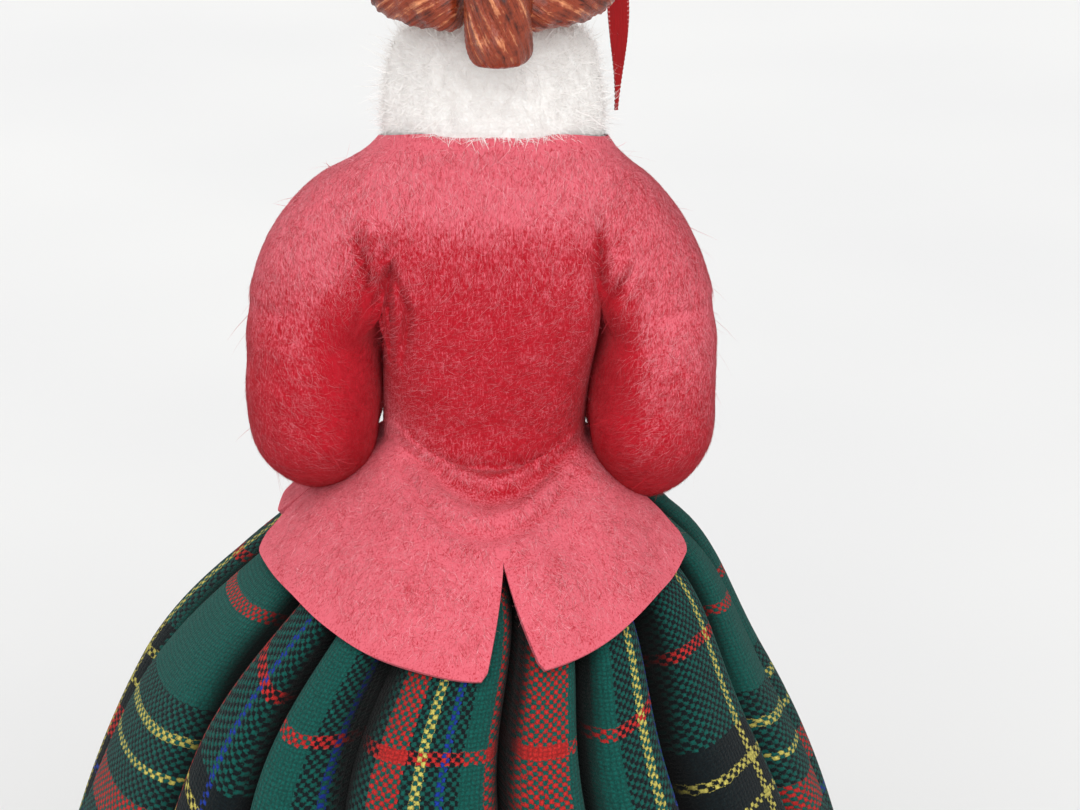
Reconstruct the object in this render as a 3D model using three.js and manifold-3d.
import * as THREE from 'three';
import { mergeVertices } from 'three/addons/utils/BufferGeometryUtils.js';
import Module from 'manifold-3d';

const wasm = await Module();
wasm.setup();

// A standing caroler doll, in millimetres. It faces -Y and its own left side is +X.

// Fits
const seat = 0.3;            // gap between pieces that rest on or in one another
const swing = 0.3;           // gap across the shoulder joints
const felt = 1.4;            // thickness of the jacket felt
const wool = 1.2;            // thickness of the skirt cloth

// Base
const padThick = 1.2;
const baseRadius = 52;
const baseThick = 12;
const baseRound = 2;

// Wires
const bodyWire = 2.6;
const armWire = 2;
const footSpread = 17;       // leg wire from the middle of the base
const footDepth = 9;         // leg wire inside the base
const bindLength = 20;       // leg wire bound beside the spine

// Skirt: a quarter ellipse turned round the figure and gathered into folds
const skirtLength = 196;
const bellRadius = 97.5;
const hemClear = 2;
const skirtTopDrop = 3.7;    // top edge below the waist
const foldDepth = 13.5;      // ridge to valley at the hem
const bandEase = 0.6;        // waistband inside the folds of the top edge
const skirtLean = 6.4;       // sideways drift of the hem
const stuffingEase = 1;      // petticoat inside the folds
const bandHeight = 5;
const bandThick = 2.6;

// Jacket
const backLength = 64.5;     // waist to neckline
const waistHalf = 20.5;
const waistDeep = 16;
const chestHalf = 23;        // middle of the body to the shoulder joint
const chestDeep = 18.5;
const shoulderHalf = 31;     // width that the bodice has before the armholes are cut
const neckSlope = 0.28;      // rise of the neckline toward the back
const neckHalf = 13;
const neckDeep = 11;
const peplumEase = 1;        // peplum clear of the skirt, outward
const peplumRise = 3.2;      // peplum clear of the skirt, upward
const backDrop = 28.5;       // waist to hem at the back, at the sides and at the front
const sideDrop = 17;
const frontDrop = 22;
const slitOffset = -4;
const slitLength = 17;
const slitHalf = 3.4;
const ventTurn = 18;         // degrees from the side toward the back
const ventLength = 9;
const ventHalf = 1.6;
const frontGap = 5;
const buttonRadius = 2.6;
const buttonThick = 1.8;
const buttonPitch = 15;

// Arms
const shoulderRise = 45.5;   // waist to the shoulder wire
const wireBehind = 2.9;      // shoulder wire behind the spine
const armpitRise = 34.5;
const armReach = 23.4;       // breadth of the upper arm
const armDeep = 12.6;
const elbowDrop = 22.0;      // armpit to the crook of the elbow
const crookFront = 6;
const elbowReach = 18.4;
const foreLength = 29;
const cuffReach = 15.4;

// Mittens and songbook
const mittenLength = 19;
const mittenTuck = 6;        // mitten inside the sleeve
const palmHalf = 5.2;
const palmThick = 3.6;
const pageWidth = 19;
const pageHeight = 25;
const pageThick = 1.6;
const coverThick = 0.8;
const bookTilt = 35;         // degrees that the book leans back
const bookFold = 14;         // degrees that each page lifts

// Head, hair and bow
const neckLean = -2.6;       // neck to one side of the waist
const neckRadius = 8.5;
const neckLength = 24;
const skullHalf = 17;
const skullDeep = 19;
const skullTall = 23;
const faceFront = -2;        // middle of the skull, forward of the neck
const neckPin = 34;          // spine wire inside the head
const collarRadius = 15.6;
const collarThick = 4.9;
const collarTall = 8.6;
const hairThick = 2.3;
const rollRadius = 4.8;
const curlRadius = 6;
const curlLength = 25;
const ribbonWidth = 4.4;
const ribbonThick = 0.6;
const loopLength = 14;
const tailLength = 42;

// Heights worked out from the sizes above
const baseTop = padThick + baseThick;
const waist = skirtLength;
const neckline = waist + backLength;
const shoulderLine = waist + shoulderRise;
const armpit = waist + armpitRise;
const crook = armpit - elbowDrop;
const hipFoot = waist - 12;
const collarFoot = neckline + 0.6 * felt + seat;
const skullMiddle = neckline + 20 + skullTall;

const Z = new THREE.Vector3(0, 0, 1);
const v = (x, y, z) => new THREE.Vector3(x, y, z);
const rad = THREE.MathUtils.degToRad;
const mix = THREE.MathUtils.lerp;

function cloth(color) {
  return new THREE.MeshStandardMaterial({ color, roughness: 0.92, metalness: 0 });
}

const finish = {
  steel: new THREE.MeshStandardMaterial({ color: 0x8d9094, roughness: 0.4, metalness: 0.9 }),
  wood: new THREE.MeshStandardMaterial({ color: 0x9a6a3c, roughness: 0.6, metalness: 0 }),
  greenFelt: cloth(0x1d5a41),
  redFelt: cloth(0xc43c4b),
  tartan: cloth(0x145a50),
  cotton: cloth(0xe6ded0),
  paper: cloth(0xd9cdb8),
  fur: cloth(0xf1e6e0),
  mitten: cloth(0xf0ece4),
  clay: new THREE.MeshStandardMaterial({ color: 0xe6b597, roughness: 0.55, metalness: 0 }),
  hair: new THREE.MeshStandardMaterial({ color: 0x8a4a32, roughness: 0.3, metalness: 0 }),
  satin: new THREE.MeshStandardMaterial({ color: 0x9f0a10, roughness: 0.35, metalness: 0 }),
  brass: new THREE.MeshStandardMaterial({ color: 0xc9a24a, roughness: 0.3, metalness: 0.95 }),
  card: new THREE.MeshStandardMaterial({ color: 0x1f4a3a, roughness: 0.7, metalness: 0 }),
};

// Solids

function manifoldOf(geometry) {
  const plain = geometry.clone();
  plain.deleteAttribute('normal');
  plain.deleteAttribute('uv');
  const joined = mergeVertices(plain, 1e-4);
  return new wasm.Manifold(new wasm.Mesh({
    numProp: 3,
    vertProperties: new Float32Array(joined.attributes.position.array),
    triVerts: new Uint32Array(joined.index.array),
  }));
}

function geometryOf(manifold) {
  const mesh = manifold.getMesh();
  const geometry = new THREE.BufferGeometry();
  geometry.setAttribute('position', new THREE.BufferAttribute(new Float32Array(mesh.vertProperties), 3));
  geometry.setIndex(new THREE.BufferAttribute(new Uint32Array(mesh.triVerts), 1));
  geometry.computeVertexNormals();
  return geometry;
}

function cut(body, ...tools) {
  return geometryOf(tools.reduce((left, tool) => left.subtract(manifoldOf(tool)), manifoldOf(body)));
}

function join(...parts) {
  return geometryOf(parts.map(manifoldOf).reduce((whole, part) => whole.add(part)));
}

function keep(body, region) {
  return geometryOf(manifoldOf(body).intersect(manifoldOf(region)));
}

function fromFaces(points, faces) {
  const geometry = new THREE.BufferGeometry();
  const flat = points.flatMap((p) => [p.x, p.y, p.z]);
  geometry.setAttribute('position', new THREE.Float32BufferAttribute(flat, 3));
  geometry.setIndex(faces);
  geometry.computeVertexNormals();
  return geometry;
}

// Strip of faces between two closed rings of points, by their first point numbers
function band(first, second, count, faces) {
  for (let i = 0; i < count; i += 1) {
    const next = (i + 1) % count;
    faces.push(first + i, first + next, second + next);
    faces.push(first + i, second + next, second + i);
  }
}

// Closed solid through a stack of rings, each turning anticlockwise seen from the last ring
function loft(rings) {
  const count = rings[0].length;
  const points = rings.flat();
  const faces = [];
  for (let r = 0; r + 1 < rings.length; r += 1) {
    band(r * count, (r + 1) * count, count, faces);
  }
  const middle = (ring) => ring.reduce((sum, p) => sum.add(p), v(0, 0, 0)).divideScalar(count);
  const foot = points.push(middle(rings[0])) - 1;
  const top = points.push(middle(rings[rings.length - 1])) - 1;
  const last = (rings.length - 1) * count;
  for (let i = 0; i < count; i += 1) {
    const next = (i + 1) % count;
    faces.push(foot, next, i);
    faces.push(top, last + i, last + next);
  }
  return fromFaces(points, faces);
}

// Open shell between an outer and an inner stack of rings, closed along both rims
function shell(outer, inner) {
  const count = outer[0].length;
  const points = [...outer.flat(), ...inner.flat()];
  const inside = outer.length * count;
  const last = (outer.length - 1) * count;
  const faces = [];
  for (let r = 0; r + 1 < outer.length; r += 1) {
    band(r * count, (r + 1) * count, count, faces);
    band(inside + (r + 1) * count, inside + r * count, count, faces);
  }
  band(inside, 0, count, faces);
  band(last, inside + last, count, faces);
  return fromFaces(points, faces);
}

// Rings moved inward along the surface they describe
function inset(rings, depth) {
  const count = rings[0].length;
  return rings.map((ring, r) => ring.map((p, i) => {
    const round = ring[(i + 1) % count].clone().sub(ring[(i + count - 1) % count]);
    const up = rings[Math.min(r + 1, rings.length - 1)][i].clone().sub(rings[Math.max(r - 1, 0)][i]);
    return p.clone().addScaledVector(round.cross(up).normalize(), -depth);
  }));
}

function oval(count, centre, along, across, half, deep, power = 2) {
  return Array.from({ length: count }, (_, i) => {
    const turn = (2 * Math.PI * i) / count;
    const c = Math.cos(turn);
    const s = Math.sin(turn);
    return centre.clone()
      .addScaledVector(along, half * Math.sign(c) * Math.abs(c) ** (2 / power))
      .addScaledVector(across, deep * Math.sign(s) * Math.abs(s) ** (2 / power));
  });
}

function flatOval(count, x, y, z, half, deep, power) {
  return oval(count, v(x, y, z), v(1, 0, 0), v(0, 1, 0), half, deep, power);
}

function tube(points, diameter, steps, sides = 8) {
  const path = new THREE.CatmullRomCurve3(points, false, 'centripetal');
  const rim = Array.from({ length: sides }, (_, i) => {
    const turn = (2 * Math.PI * i) / sides;
    return new THREE.Vector2(Math.cos(turn), Math.sin(turn)).multiplyScalar(diameter / 2);
  });
  return new THREE.ExtrudeGeometry(new THREE.Shape(rim), { steps, bevelEnabled: false, extrudePath: path });
}

function turned(profile, segments) {
  const outline = profile.map(([radius, height]) => new THREE.Vector2(radius, height));
  return new THREE.LatheGeometry(outline, segments).rotateX(Math.PI / 2);
}

function block(x0, x1, y0, y1, z0, z1) {
  return new THREE.BoxGeometry(x1 - x0, y1 - y0, z1 - z0)
    .translate((x0 + x1) / 2, (y0 + y1) / 2, (z0 + z1) / 2);
}

function ball(half, deep, tall, columns, rows) {
  return new THREE.SphereGeometry(1, columns, rows).rotateX(Math.PI / 2).scale(half, deep, tall);
}

function prism(outline, depth) {
  const shape = new THREE.Shape(outline.map(([x, y]) => new THREE.Vector2(x, y)));
  return new THREE.ExtrudeGeometry(shape, { depth, bevelEnabled: false });
}

function add(group, name, geometry, material) {
  const mesh = new THREE.Mesh(geometry, material);
  mesh.name = name;
  group.add(mesh);
  return mesh;
}

// Base and wires

const bindFoot = hipFoot - bindLength - bodyWire;
const bindRadius = bodyWire + seat;

// Leg wire from the base up to the hips, where it is bound beside the spine
function legPath(side) {
  return [
    v(side * footSpread, 0, baseTop - footDepth),
    v(side * footSpread, 0, baseTop + 8),
    v(side * footSpread * 0.9, 0, baseTop + 26),
    v(side * bindRadius, 0, bindFoot),
    v(side * bindRadius, 0, bindFoot + bindLength),
  ];
}

function spinePath() {
  return [
    v(0, 0, bindFoot - 4),
    v(0, 0, waist),
    v(neckLean * 0.5, 0, mix(waist, neckline, 0.4)),
    v(neckLean, 0, mix(waist, neckline, 0.8)),
    v(neckLean, 0, neckline),
    v(neckLean, 0, neckline + felt + seat + neckPin),
  ];
}

function buildBase(body) {
  const disc = turned([
    [0, padThick],
    [baseRadius - baseRound, padThick],
    [baseRadius, padThick + baseRound],
    [baseRadius, baseTop - baseRound],
    [baseRadius - baseRound * 0.3, baseTop - baseRound * 0.3],
    [baseRadius - baseRound, baseTop],
    [0, baseTop],
  ], 32);
  const holes = [1, -1].map((side) => new THREE.CylinderGeometry(
    bodyWire / 2 + seat, bodyWire / 2 + seat, 2 * footDepth + 2 * seat, 12,
  ).rotateX(Math.PI / 2).translate(side * footSpread, 0, baseTop));
  const pad = turned([
    [0, 0],
    [baseRadius - baseRound, 0],
    [baseRadius - baseRound, padThick],
    [0, padThick],
  ], 32);
  add(body, 'base_pad', pad, finish.greenFelt);
  add(body, 'base_disc', cut(disc, ...holes), finish.wood);
}

function buildWires(body) {
  add(body, 'left_leg_wire', tube(legPath(1), bodyWire, 16), finish.steel);
  add(body, 'right_leg_wire', tube(legPath(-1), bodyWire, 16), finish.steel);
  add(body, 'spine_wire', tube(spinePath(), bodyWire, 12), finish.steel);
  const end = chestHalf - swing / 2;
  const cross = tube([v(-end, wireBehind, shoulderLine), v(end, wireBehind, shoulderLine)], armWire, 1);
  add(body, 'shoulder_wire', cross, finish.steel);
}

// Skirt

// Angle up the quarter ellipse at a height
const riseAt = (height) => Math.asin(height / skirtLength);

// Folds in order: ridge in degrees from the back toward the right side, place of the valley before
// the next ridge as a share, its depth as a share of the usual one, and its sharpness
const folds = [
  [-180, 0.50, 0.95, 1.6], [-160, 0.46, 1.05, 1.6], [-141, 0.53, 0.90, 1.6], [-121, 0.50, 1.05, 1.6],
  [-101, 0.47, 0.90, 1.6], [-80, 0.39, 0.65, 1.0], [-46.8, 0.58, 1.15, 2.2], [-30.3, 0.43, 0.70, 1.2],
  [-4.5, 0.70, 1.05, 2.2], [17.6, 0.50, 1.10, 2.2], [36.5, 0.46, 1.35, 1.4], [62, 0.50, 0.90, 1.6],
  [82, 0.47, 1.00, 1.6], [102, 0.50, 0.95, 1.6], [122, 0.54, 1.05, 1.6], [142, 0.48, 1.00, 1.6],
  [162, 0.50, 0.95, 1.6],
];
const deepest = Math.max(...folds.map(([, , deep]) => deep));
const foldSteps = [0, 0.24, 0.4, 0.5, 0.6, 0.76];

// Straight-line reading of a table of [position, value]
function lookUp(table, at) {
  const next = table.findIndex(([position]) => position > at);
  if (next < 0) return table[table.length - 1][1];
  if (next === 0) return table[0][1];
  const [[low, from], [high, to]] = [table[next - 1], table[next]];
  return mix(from, to, (at - low) / (high - low));
}

// Usual depth of a fold, by the share of the hem's radius
const depthShares = [[0.19, 0.03], [0.25, 0.22], [0.37, 0.63], [0.51, 0.85], [0.68, 0.96], [1, 1]];
// Narrowing of the valleys, by the same share
const squeezeShares = [[0.19, 0.3], [0.46, 0.8], [1, 0.6]];

// Turn and depth share of every column at a row of the skirt
function foldColumns(rise) {
  const squeeze = lookUp(squeezeShares, Math.cos(rise));
  return folds.flatMap(([ridge, valley, deep, sharp], i) => {
    const next = i + 1 < folds.length ? folds[i + 1][0] : folds[0][0] + 360;
    return foldSteps.map((step) => {
      const wave = step + (squeeze * Math.sin(2 * Math.PI * step)) / (2 * Math.PI);
      const share = wave + 4 * (valley - 0.5) * wave * (1 - wave);
      const drop = deep * ((1 - Math.cos(2 * Math.PI * step)) / 2) ** sharp;
      return { turn: rad(90 + mix(ridge, next, share)), drop };
    });
  });
}

function bellPoint(rise, inward, turn, drop) {
  const share = Math.cos(rise);
  const reach = (bellRadius - inward) * share - foldDepth * lookUp(depthShares, share) * drop;
  const drift = skirtLean * THREE.MathUtils.smoothstep(share, 0.43, 0.68);
  return v(
    drift + reach * Math.cos(turn),
    reach * Math.sin(turn),
    (skirtLength - inward) * Math.sin(rise),
  );
}

const roundRing = (count, rise, inward, drop) => Array.from({ length: count }, (_, i) =>
  bellPoint(rise, inward, (2 * Math.PI * i) / count, drop));

// Ring of the folded cloth; its inside lies a cloth's thickness from the walls of the folds
function foldedRing(rise, inward) {
  const columns = foldColumns(rise);
  const ring = columns.map(({ turn, drop }) => bellPoint(rise, 0, turn, drop));
  return columns.map(({ turn, drop }, i) => {
    const before = ring[(i + ring.length - 1) % ring.length];
    const along = ring[(i + 1) % ring.length].clone().sub(before).normalize();
    const sideways = along.dot(v(Math.cos(turn), Math.sin(turn), 0));
    const reach = Math.hypot(ring[i].x, ring[i].y);
    return bellPoint(rise, inward, turn + (sideways * inward) / reach, drop);
  });
}

function buildSkirt(body) {
  const rows = 8;
  const foot = riseAt(hemClear);
  const top = riseAt(waist - skirtTopDrop);
  const rises = Array.from({ length: rows + 1 }, (_, r) => mix(foot, top, r / rows));
  const outer = rises.map((rise) => foldedRing(rise, 0));
  const inner = rises.map((rise) => foldedRing(rise, wool));
  add(body, 'skirt', shell(outer, inner), finish.tartan);

  const low = riseAt(baseTop + seat);
  const high = riseAt(hipFoot - seat);
  const levels = Array.from({ length: 9 }, (_, r) => mix(low, high, r / 8));
  const stuffing = loft(levels.map((rise) => roundRing(32, rise, wool + stuffingEase, deepest)));
  const channels = [1, -1].map((side) => tube(legPath(side), bodyWire + 2 * seat, 16));
  const socketRadius = bindRadius + bodyWire / 2 + seat;
  const socket = new THREE.CylinderGeometry(socketRadius, socketRadius, 2 * (hipFoot - bindFoot + 5), 20)
    .rotateX(Math.PI / 2)
    .translate(0, 0, hipFoot);
  add(body, 'stuffed_petticoat', cut(stuffing, ...channels, socket), finish.cotton);

  const bandOuter = bellRadius * Math.cos(top) - bandEase - wool - seat;
  const bandTop = waist - skirtTopDrop - 0.6;
  const waistband = turned([
    [bandOuter - bandThick, bandTop - bandHeight],
    [bandOuter, bandTop - bandHeight],
    [bandOuter, bandTop],
    [bandOuter - bandThick, bandTop],
    [bandOuter - bandThick, bandTop - bandHeight],
  ], 28);
  add(body, 'skirt_waistband', waistband, finish.tartan);
  return bandOuter - bandThick;
}

// Torso and jacket

// Half-width and half-depth of the bodice at steps up from the waist
function bodiceSizes() {
  return [
    [0, waistHalf, waistDeep],
    [0.17, mix(waistHalf, chestHalf, 0.4), mix(waistDeep, chestDeep, 0.4)],
    [0.34, mix(waistHalf, chestHalf, 0.85), mix(waistDeep, chestDeep, 0.75)],
    [0.49, chestHalf + 0.8, chestDeep],
    [0.57, shoulderHalf, chestDeep],
    [0.75, shoulderHalf + 1, chestDeep - 0.5],
    [0.9, shoulderHalf, chestDeep - 2],
    [0.97, shoulderHalf - 2, chestDeep - 3.4],
  ];
}

function hemDrop(turn) {
  const back = Math.sin(turn);
  return sideDrop + ((back > 0 ? backDrop : frontDrop) - sideDrop) * back * back;
}

function peplumReach(height) {
  return (bellRadius + peplumEase) * Math.sqrt(1 - (height / (skirtLength + peplumRise)) ** 2);
}

function peplumRing(count, t) {
  const slack = (1 - t) ** 2;
  const start = peplumReach(waist);
  return Array.from({ length: count }, (_, i) => {
    const turn = (2 * Math.PI * i) / count;
    const height = waist - hemDrop(turn) * t;
    const reach = peplumReach(height);
    const half = reach + (waistHalf - start) * slack;
    const deep = reach + (waistDeep - start) * slack;
    return v(half * Math.cos(turn), deep * Math.sin(turn), height);
  });
}

// Triangular notch with its point up, seen along the direction it is cut in
function notch(length, half, depth) {
  return prism([[0, length], [-half, 0], [half, 0]], depth).rotateX(Math.PI / 2);
}

// Ring tilted with the neckline
function sloped(ring, share) {
  return ring.map((p) => p.setZ(p.z + neckSlope * share * p.y));
}

// Outside of the jacket, as rings from the hem of the peplum up to the neck
const jacketRings = (() => {
  const columns = 32;
  const peplum = [1, 0.78, 0.58, 0.38, 0.18].map((t) => peplumRing(columns, t));
  const bodice = bodiceSizes().map(([up, half, deep]) => sloped(
    flatOval(columns, 0, 0, waist + backLength * up, half, deep, 2.5), THREE.MathUtils.smoothstep(up, 0.5, 1),
  ));
  const yoke = [0.55, 1].map((t) => sloped(flatOval(
    columns, neckLean * t, 0, neckline + felt * t * 0.6,
    mix(shoulderHalf - 2, neckHalf, t), mix(chestDeep - 3.4, neckDeep, t), 2.2,
  ), 1));
  return { peplum, bodice, yoke };
})();

function armholes(inward) {
  const side = block(chestHalf - swing / 2 - inward, 60, -40, 40, mix(waist, neckline, 0.2), neckline + 20);
  return [side, side.clone().rotateZ(Math.PI)];
}

function buildTorso(body, hip) {
  const { peplum, bodice, yoke } = jacketRings;
  const lining = inset([...peplum, ...bodice, ...yoke], felt + seat + 0.1);
  const columns = lining[0].length;
  const core = loft([
    flatOval(columns, 0, 0, hipFoot, hip - seat, hip - seat),
    flatOval(columns, 0, 0, waist - skirtTopDrop, hip - seat, hip - seat),
    ...lining.slice(peplum.length, -1),
  ]);
  const spine = tube(spinePath(), bodyWire + 2 * seat, 12);
  const crossHole = tube(
    [v(-60, wireBehind, shoulderLine), v(60, wireBehind, shoulderLine)], armWire + 2 * seat, 1,
  );
  add(body, 'torso_core', cut(core, ...armholes(felt / 2), spine, crossHole), finish.paper);
}

function buildJacket(body) {
  const outer = [...jacketRings.peplum, ...jacketRings.bodice, ...jacketRings.yoke];
  const slit = notch(2 * slitLength, 2 * slitHalf, 60)
    .translate(slitOffset, 80, waist - backDrop - slitLength);
  const opening = notch(2 * frontDrop, 2 * frontGap, 70)
    .translate(0, -10, waist - 2 * frontDrop);
  const vents = [rad(ventTurn), Math.PI - rad(ventTurn)].map((turn) => (
    notch(2 * ventLength, 2 * ventHalf, 60)
      .translate(0, 80, waist - hemDrop(turn) - ventLength)
      .rotateZ(turn - Math.PI / 2)
  ));
  const jacket = cut(shell(outer, inset(outer, felt)), ...armholes(0), slit, opening, ...vents);
  add(body, 'jacket', jacket, finish.redFelt);

  const button = turned([
    [0, 0],
    [buttonRadius * 0.8, 0],
    [buttonRadius, buttonThick * 0.45],
    [buttonRadius * 0.75, buttonThick * 0.9],
    [0, buttonThick],
  ], 16).rotateX(Math.PI / 2);
  ['bottom', 'middle', 'top'].forEach((place, i) => {
    const up = (8 + i * buttonPitch) / backLength;
    const sizes = bodiceSizes();
    const above = sizes.findIndex(([level]) => level > up);
    const [low, , lowDeep] = sizes[above - 1];
    const [high, , highDeep] = sizes[above];
    const deep = mix(lowDeep, highDeep, (up - low) / (high - low));
    const mesh = add(body, `jacket_button_${place}`, button, finish.brass);
    mesh.position.set(0, -deep - 2 * seat, waist + backLength * up);
  });
}

function buildCollar(body) {
  const columns = 28;
  const rings = 10;
  const points = [];
  const faces = [];
  for (let c = 0; c < columns; c += 1) {
    const turn = (2 * Math.PI * c) / columns;
    for (let r = 0; r < rings; r += 1) {
      const roll = (2 * Math.PI * r) / rings;
      const out = Math.sign(Math.cos(roll)) * Math.abs(Math.cos(roll)) ** 0.7;
      const up = Math.sign(Math.sin(roll)) * Math.abs(Math.sin(roll)) ** 0.7;
      const reach = collarRadius + collarThick * out;
      const y = reach * Math.sin(turn);
      const z = collarFoot + collarTall * (1 + up) + neckSlope * y;
      points.push(v(neckLean + reach * Math.cos(turn), y, z));
    }
  }
  for (let c = 0; c < columns; c += 1) {
    band(c * rings, ((c + 1) % columns) * rings, rings, faces);
  }
  add(body, 'fur_collar', fromFaces(points, faces.reverse()), finish.fur);
}

// Arms, modelled on the left and mirrored for the right

const sleeveSide = chestHalf + swing / 2;
const forearm = v(-0.36, -0.9, 0.25).normalize();
const foreSide = forearm.clone().cross(Z).normalize().negate();
const foreTop = forearm.clone().cross(foreSide).normalize();
const elbow = v(sleeveSide + armReach / 2 + 0.4, -crookFront, crook);
const armLean = armDeep - 0.6 - crookFront;
const wrist = elbow.clone().addScaledVector(forearm, foreLength).addScaledVector(foreTop, -cuffReach / 2);

// Ring of a sleeve that reaches outward from a crease
function creaseRing(crease, outward, front, near, far, deep, inward) {
  const centre = crease.clone().addScaledVector(outward, (near + far) / 2);
  return oval(16, centre, outward, front, (far - near) / 2 - inward, deep - inward, 2.15);
}

function shoulderReach(turn) {
  return mix(armReach - 2.6, backLength - armpitRise - 1, Math.sin(turn) ** 8);
}

function sleeveRings(inward, cuffShift) {
  const rings = [];
  const front = v(0, -1, 0);
  for (const turn of [90, 66, 42, 18].map(rad)) {
    const crease = v(sleeveSide + 0.3 * Math.cos(turn), 0, armpit);
    const outward = v(Math.cos(turn), 0, Math.sin(turn));
    const deep = mix(armDeep, chestDeep - 2.6, Math.sin(turn));
    rings.push(creaseRing(crease, outward, front, 0.8, shoulderReach(turn), deep, inward));
  }
  for (const down of [0.3, 0.7]) {
    const crease = v(sleeveSide, armLean * down, armpit - elbowDrop * down);
    rings.push(creaseRing(crease, v(1, 0, 0), front, 0.4, armReach, armDeep, inward));
  }
  for (const turn of [18, 48, 78].map(rad)) {
    const inner = v(0, -Math.cos(turn), Math.sin(turn));
    const reach = mix(armDeep * 2 - 1.2, elbowReach, Math.sin(turn));
    const centre = elbow.clone().addScaledVector(inner, -(1 + reach) / 2);
    const half = armReach / 2 - 0.4 - inward;
    rings.push(oval(16, centre, v(1, 0, 0), inner, half, (reach - 1) / 2 - inward, 2.15));
  }
  for (const share of [0.5, 1]) {
    const along = foreLength * share + (share === 1 ? cuffShift : 0);
    const thick = mix(elbowReach, cuffReach, share) / 2;
    const centre = elbow.clone().addScaledVector(forearm, along).addScaledVector(foreTop, -thick);
    rings.push(oval(16, centre, foreSide, foreTop, thick + 0.6 - inward, thick - 0.4 - inward, 2.1));
  }
  return rings;
}

function armWirePath() {
  return [
    v(sleeveSide, wireBehind, shoulderLine),
    v(sleeveSide + 5, wireBehind * 0.9, shoulderLine - 1),
    v(sleeveSide + armReach / 2, 0, shoulderLine - 11),
    v(sleeveSide + armReach / 2, armLean * 0.5 - 2, mix(armpit, crook, 0.5)),
    v(elbow.x, -crookFront + 9, crook - 7),
    elbow.clone().addScaledVector(forearm, 8).addScaledVector(foreTop, -elbowReach / 2),
    wrist.clone(),
    wrist.clone().addScaledVector(forearm, mittenLength * 0.4),
  ];
}

// Open book seen along its spine: two leaves that lift from the fold, grown outward by a margin
function bookOutline(width, top, thick, margin) {
  const lift = rad(bookFold);
  const edge = (width + margin) * Math.cos(lift);
  const rise = (width + margin) * Math.sin(lift);
  return [
    [-edge, rise + top + margin],
    [-edge, rise + top - thick - margin],
    [0, top - thick - margin],
    [edge, rise + top - thick - margin],
    [edge, rise + top + margin],
    [0, top + margin],
  ];
}

function bookLeaf(outline, height) {
  const palm = wrist.clone().addScaledVector(forearm, mittenLength * 0.42);
  return prism(outline, height)
    .translate(0, 0, -height / 2)
    .rotateX(rad(bookTilt))
    .translate(0, palm.y - 5, palm.z + 4);
}

function mittenForm() {
  const inward = foreSide.clone().negate();
  const toHand = new THREE.Matrix4().makeBasis(inward, forearm, foreTop).setPosition(wrist);
  const cuff = cuffReach / 2 - felt - 2 * seat - 0.4;
  const hand = loft([
    [-mittenTuck, cuff * 0.9, cuff * 0.9],
    [0, cuff, cuff],
    [mittenLength * 0.3, palmHalf, palmThick + 0.8],
    [mittenLength * 0.6, palmHalf + 0.6, palmThick],
    [mittenLength * 0.85, palmHalf * 0.8, palmThick * 0.8],
    [mittenLength, palmHalf * 0.3, palmThick * 0.35],
  ].map(([y, half, deep]) => oval(14, v(0, y, 0), v(0, 0, 1), v(1, 0, 0), deep, half)));
  const thumb = ball(2.1, 5, 2.1, 10, 8)
    .rotateZ(rad(-24))
    .translate(palmHalf * 0.75, mittenLength * 0.45, palmThick * 0.75);
  return join(hand, thumb).applyMatrix4(toHand);
}

function buildArm(arm, side) {
  const wire = armWirePath();
  const channel = tube(wire, armWire + 2 * seat, 16);
  const overrun = wrist.clone().addScaledVector(forearm, mittenLength * 0.4 + seat);
  const bore = tube([...wire.slice(0, -1), overrun], armWire + 2 * seat, 16);
  const bookThick = pageThick + seat + coverThick;
  const slot = bookLeaf(bookOutline(pageWidth + 1, 0, bookThick, seat), pageHeight + 2 + 2 * seat);
  add(arm, `${side}_arm_wire`, tube(wire, armWire, 16), finish.steel);
  const padding = cut(loft(sleeveRings(felt + seat, -mittenTuck - 2 * seat)), channel);
  add(arm, `${side}_arm_padding`, padding, finish.cotton);
  const lining = sleeveRings(felt, 0);
  const moved = (ring, step) => ring.map((p) => p.clone().add(step));
  const hollow = loft([
    moved(lining[0], v(-2, 0, 0)),
    ...lining,
    moved(lining[lining.length - 1], forearm.clone().multiplyScalar(2)),
  ]);
  const sleeve = cut(loft(sleeveRings(0, 0)), hollow);
  add(arm, `${side}_sleeve`, sleeve, finish.redFelt);
  add(arm, `${side}_mitten`, cut(mittenForm(), bore, slot), finish.mitten);
}

function buildSongbook(arm) {
  const pages = bookLeaf(bookOutline(pageWidth, 0, pageThick, 0), pageHeight);
  const cover = bookLeaf(bookOutline(pageWidth + 1, -pageThick - seat, coverThick, 0), pageHeight + 2);
  add(arm, 'songbook_pages', pages, finish.paper);
  add(arm, 'songbook_cover', cover, finish.card);
}

// Head

const skull = v(neckLean, faceFront, skullMiddle);

// Forward push of the face at a point of the unit sphere
function faceRelief(x, z) {
  const bump = (x0, z0, wide, tall, push) => (
    push * Math.exp(-(((x - x0) / wide) ** 2) - ((z - z0) / tall) ** 2)
  );
  const pair = (x0, z0, wide, tall, push) => bump(x0, z0, wide, tall, push) + bump(-x0, z0, wide, tall, push);
  const nose = bump(0, -0.14, 0.1, 0.11, 3.4) + bump(0, 0.06, 0.09, 0.2, 1.3);
  const chin = bump(0, -0.8, 0.26, 0.14, 2.2);
  const mouth = bump(0, -0.5, 0.15, 0.1, -2.6);
  const cheeks = pair(0.42, -0.28, 0.22, 0.2, 1.2);
  const eyes = pair(0.33, 0.08, 0.15, 0.09, -1.2) + pair(0.32, 0.28, 0.22, 0.08, 0.7);
  return nose + chin + mouth + cheeks + eyes;
}

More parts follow.
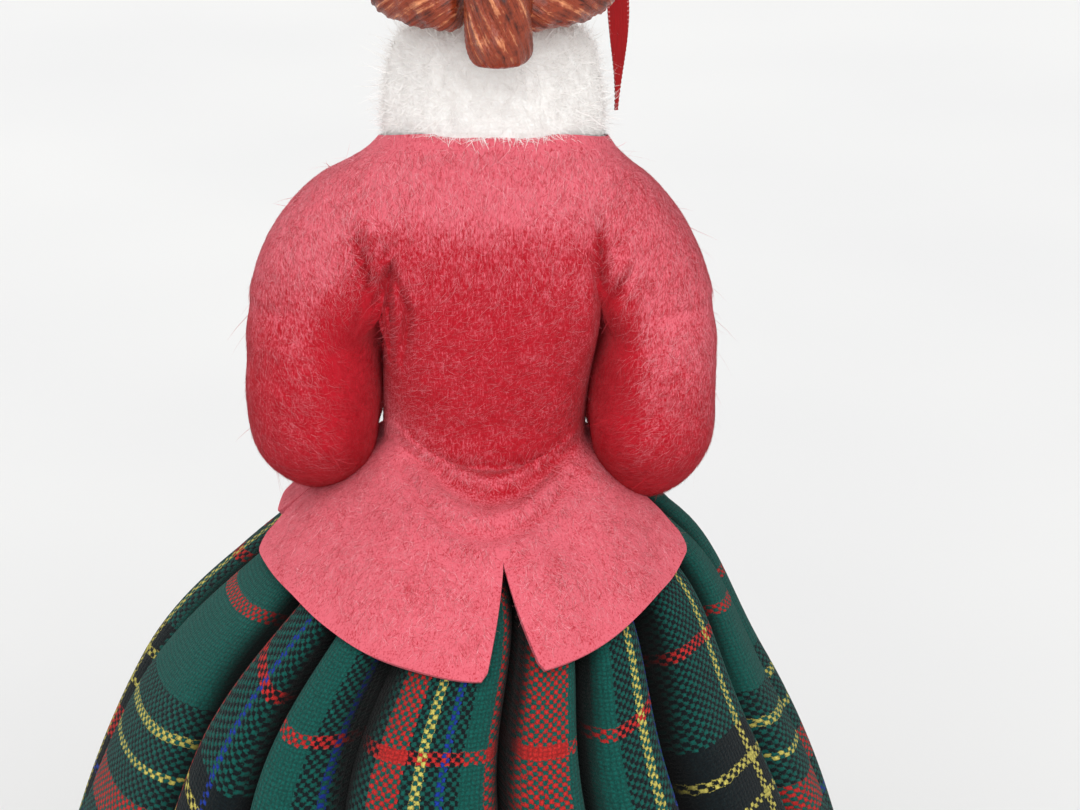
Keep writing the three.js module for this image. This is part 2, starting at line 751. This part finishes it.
function skullForm() {
  const form = ball(1, 1, 1, 32, 24);
  const place = form.attributes.position;
  for (let i = 0; i < place.count; i += 1) {
    const [x, y, z] = [place.getX(i), place.getY(i), place.getZ(i)];
    const front = THREE.MathUtils.smoothstep(-y, 0.1, 0.5);
    const jaw = 1 - 0.16 * front * THREE.MathUtils.smoothstep(-z, 0, 0.8);
    place.setXYZ(i, skullHalf * x * jaw, skullDeep * y - front * faceRelief(x, z), skullTall * z);
  }
  return form.translate(skull.x, skull.y, skull.z);
}

function buildHead(head) {
  const neckFoot = neckline - felt / 2 + neckSlope * neckRadius;
  const neck = new THREE.CylinderGeometry(neckRadius * 0.92, neckRadius, neckLength + 12, 24)
    .rotateX(Math.PI / 2)
    .translate(neckLean, 0, neckFoot + (neckLength + 12) / 2);
  const pinTop = neckline + felt + seat + neckPin + seat;
  const pinRadius = bodyWire / 2 + seat;
  const bore = new THREE.CylinderGeometry(pinRadius, pinRadius, 2 * (pinTop - neckFoot), 12)
    .rotateX(Math.PI / 2)
    .translate(neckLean, 0, neckFoot);
  add(head, 'head', cut(join(skullForm(), neck), bore), finish.clay);
}

// Sausage of hair along a path, thinner toward its ends
function sausage(path, radius, rings, ends) {
  const curve = new THREE.CatmullRomCurve3(path, false, 'centripetal');
  return loft(Array.from({ length: rings + 1 }, (_, r) => {
    const t = r / rings;
    const travel = curve.getTangentAt(t);
    const along = Math.abs(travel.z) > 0.7 ? v(1, 0, 0) : Z.clone();
    const second = travel.clone().cross(along).normalize();
    const thick = radius * mix(ends, 1, Math.sin(Math.PI * t) ** 0.35);
    return oval(16, curve.getPointAt(t), second.clone().cross(travel).normalize(), second, thick, thick);
  }));
}

function buildHair(head) {
  const outer = ball(skullHalf + hairThick, skullDeep + hairThick, skullTall + hairThick, 26, 18);
  const inner = ball(skullHalf + seat, skullDeep + seat, skullTall + seat, 26, 18);
  const region = block(-60, 60, -60, 60, 0, 80)
    .rotateX(rad(-46))
    .translate(0, -skullDeep * 0.78, skullTall * 0.62);
  const cap = keep(cut(outer, inner), region).translate(skull.x, skull.y, skull.z);
  add(head, 'hair_cap', cap, finish.hair);

  const collarTop = collarFoot + 2 * collarTall + neckSlope * (collarRadius + collarThick);
  const rollHeight = collarTop + 2 * seat + rollRadius;
  const rollReach = skullDeep + hairThick + rollRadius - 4.6;
  for (const [name, side] of [['left', 1], ['right', -1]]) {
    const path = [20, 42, 64].map((degrees) => v(
      neckLean + side * rollReach * Math.sin(rad(degrees)), rollReach * Math.cos(rad(degrees)), rollHeight,
    ));
    add(head, `${name}_nape_roll`, sausage(path, rollRadius, 8, 0.5), finish.hair);
  }
  const curlFoot = collarTop - 5;
  const root = faceFront + skullDeep + hairThick + 2 * seat + curlRadius * 0.76;
  const hang = collarRadius + collarThick + seat + curlRadius * 0.95;
  const curl = sausage([
    v(neckLean, root, curlFoot + curlLength),
    v(neckLean, (root + hang) / 2, curlFoot + curlLength * 0.5),
    v(neckLean, hang, curlFoot),
  ], curlRadius, 9, 0.6);
  add(head, 'back_curl', curl, finish.hair);
}

// Ribbon hanging from a point, cut to a slanted tip
function ribbonTail(top, length, drift) {
  const steps = 6;
  return loft(Array.from({ length: steps + 1 }, (_, r) => {
    const t = r / steps;
    const half = (ribbonWidth / 2) * (t > 0.6 ? mix(1, 0.12, (t - 0.6) / 0.4) : 1);
    const centre = v(top.x + drift * Math.sin(t * 2.2), top.y + 0.8 * Math.sin(t * 5), top.z - length * t);
    const side = half + ribbonThick * 0.1;
    return [[1, 1], [-1, 1], [-1, -1], [1, -1]].map(([a, b]) => (
      centre.clone().add(v(a * side, (-b * ribbonThick) / 2, 0))
    ));
  }));
}

function bowLoop(direction) {
  const rim = new THREE.Shape();
  const thick = loopLength * 0.24;
  rim.moveTo(0, -ribbonThick);
  rim.bezierCurveTo(loopLength * 0.5, -thick, loopLength, -thick * 1.4, loopLength, 0);
  rim.bezierCurveTo(loopLength, thick * 1.4, loopLength * 0.5, thick, 0, ribbonThick);
  const hole = new THREE.Path();
  const inner = loopLength - ribbonThick;
  hole.moveTo(loopLength * 0.22, 0);
  hole.bezierCurveTo(loopLength * 0.5, -thick * 0.62, inner, -thick * 1.05, inner, 0);
  hole.bezierCurveTo(inner, thick * 1.05, loopLength * 0.5, thick * 0.62, loopLength * 0.22, 0);
  rim.holes.push(hole);
  return new THREE.ExtrudeGeometry(rim, { depth: ribbonWidth, bevelEnabled: false, curveSegments: 8 })
    .translate(0, 0, -ribbonWidth / 2)
    .rotateZ((direction * Math.PI) / 2);
}

function buildBow(head) {
  const knotHalf = 2.4;
  const knotLong = 3;
  const knot = v(neckLean - skullHalf - hairThick - knotHalf - seat, faceFront - 1, skullMiddle + 4);
  add(head, 'bow_knot', ball(knotHalf, knotLong, knotLong, 12, 8).translate(...knot), finish.satin);
  for (const [name, direction] of [['back', 1], ['front', -1]]) {
    const loop = bowLoop(direction).translate(knot.x, knot.y + direction * (knotLong + seat), knot.z);
    add(head, `bow_${name}_loop`, loop, finish.satin);
  }
  const under = knot.z - knotLong - seat;
  const longTail = ribbonTail(v(knot.x - 0.4, knot.y + 1.4, under), tailLength, -1.8);
  const shortTail = ribbonTail(v(knot.x - 0.4, knot.y - 1.4, under), tailLength * 0.6, 0.8);
  add(head, 'ribbon_long_tail', longTail, finish.satin);
  add(head, 'ribbon_short_tail', shortTail, finish.satin);
}

// The whole figure

const root = new THREE.Group();
root.name = 'caroler_doll';
const groups = {};
for (const name of ['body', 'head', 'left_arm', 'right_arm']) {
  groups[name] = new THREE.Group();
  groups[name].name = `${name}_group`;
  root.add(groups[name]);
}
groups.right_arm.scale.x = -1;

buildBase(groups.body);
buildWires(groups.body);
const hip = buildSkirt(groups.body);
buildTorso(groups.body, hip);
buildJacket(groups.body);
buildCollar(groups.body);
buildHead(groups.head);
buildHair(groups.head);
buildBow(groups.head);
buildArm(groups.left_arm, 'left');
buildArm(groups.right_arm, 'right');
buildSongbook(groups.left_arm);

export default root;
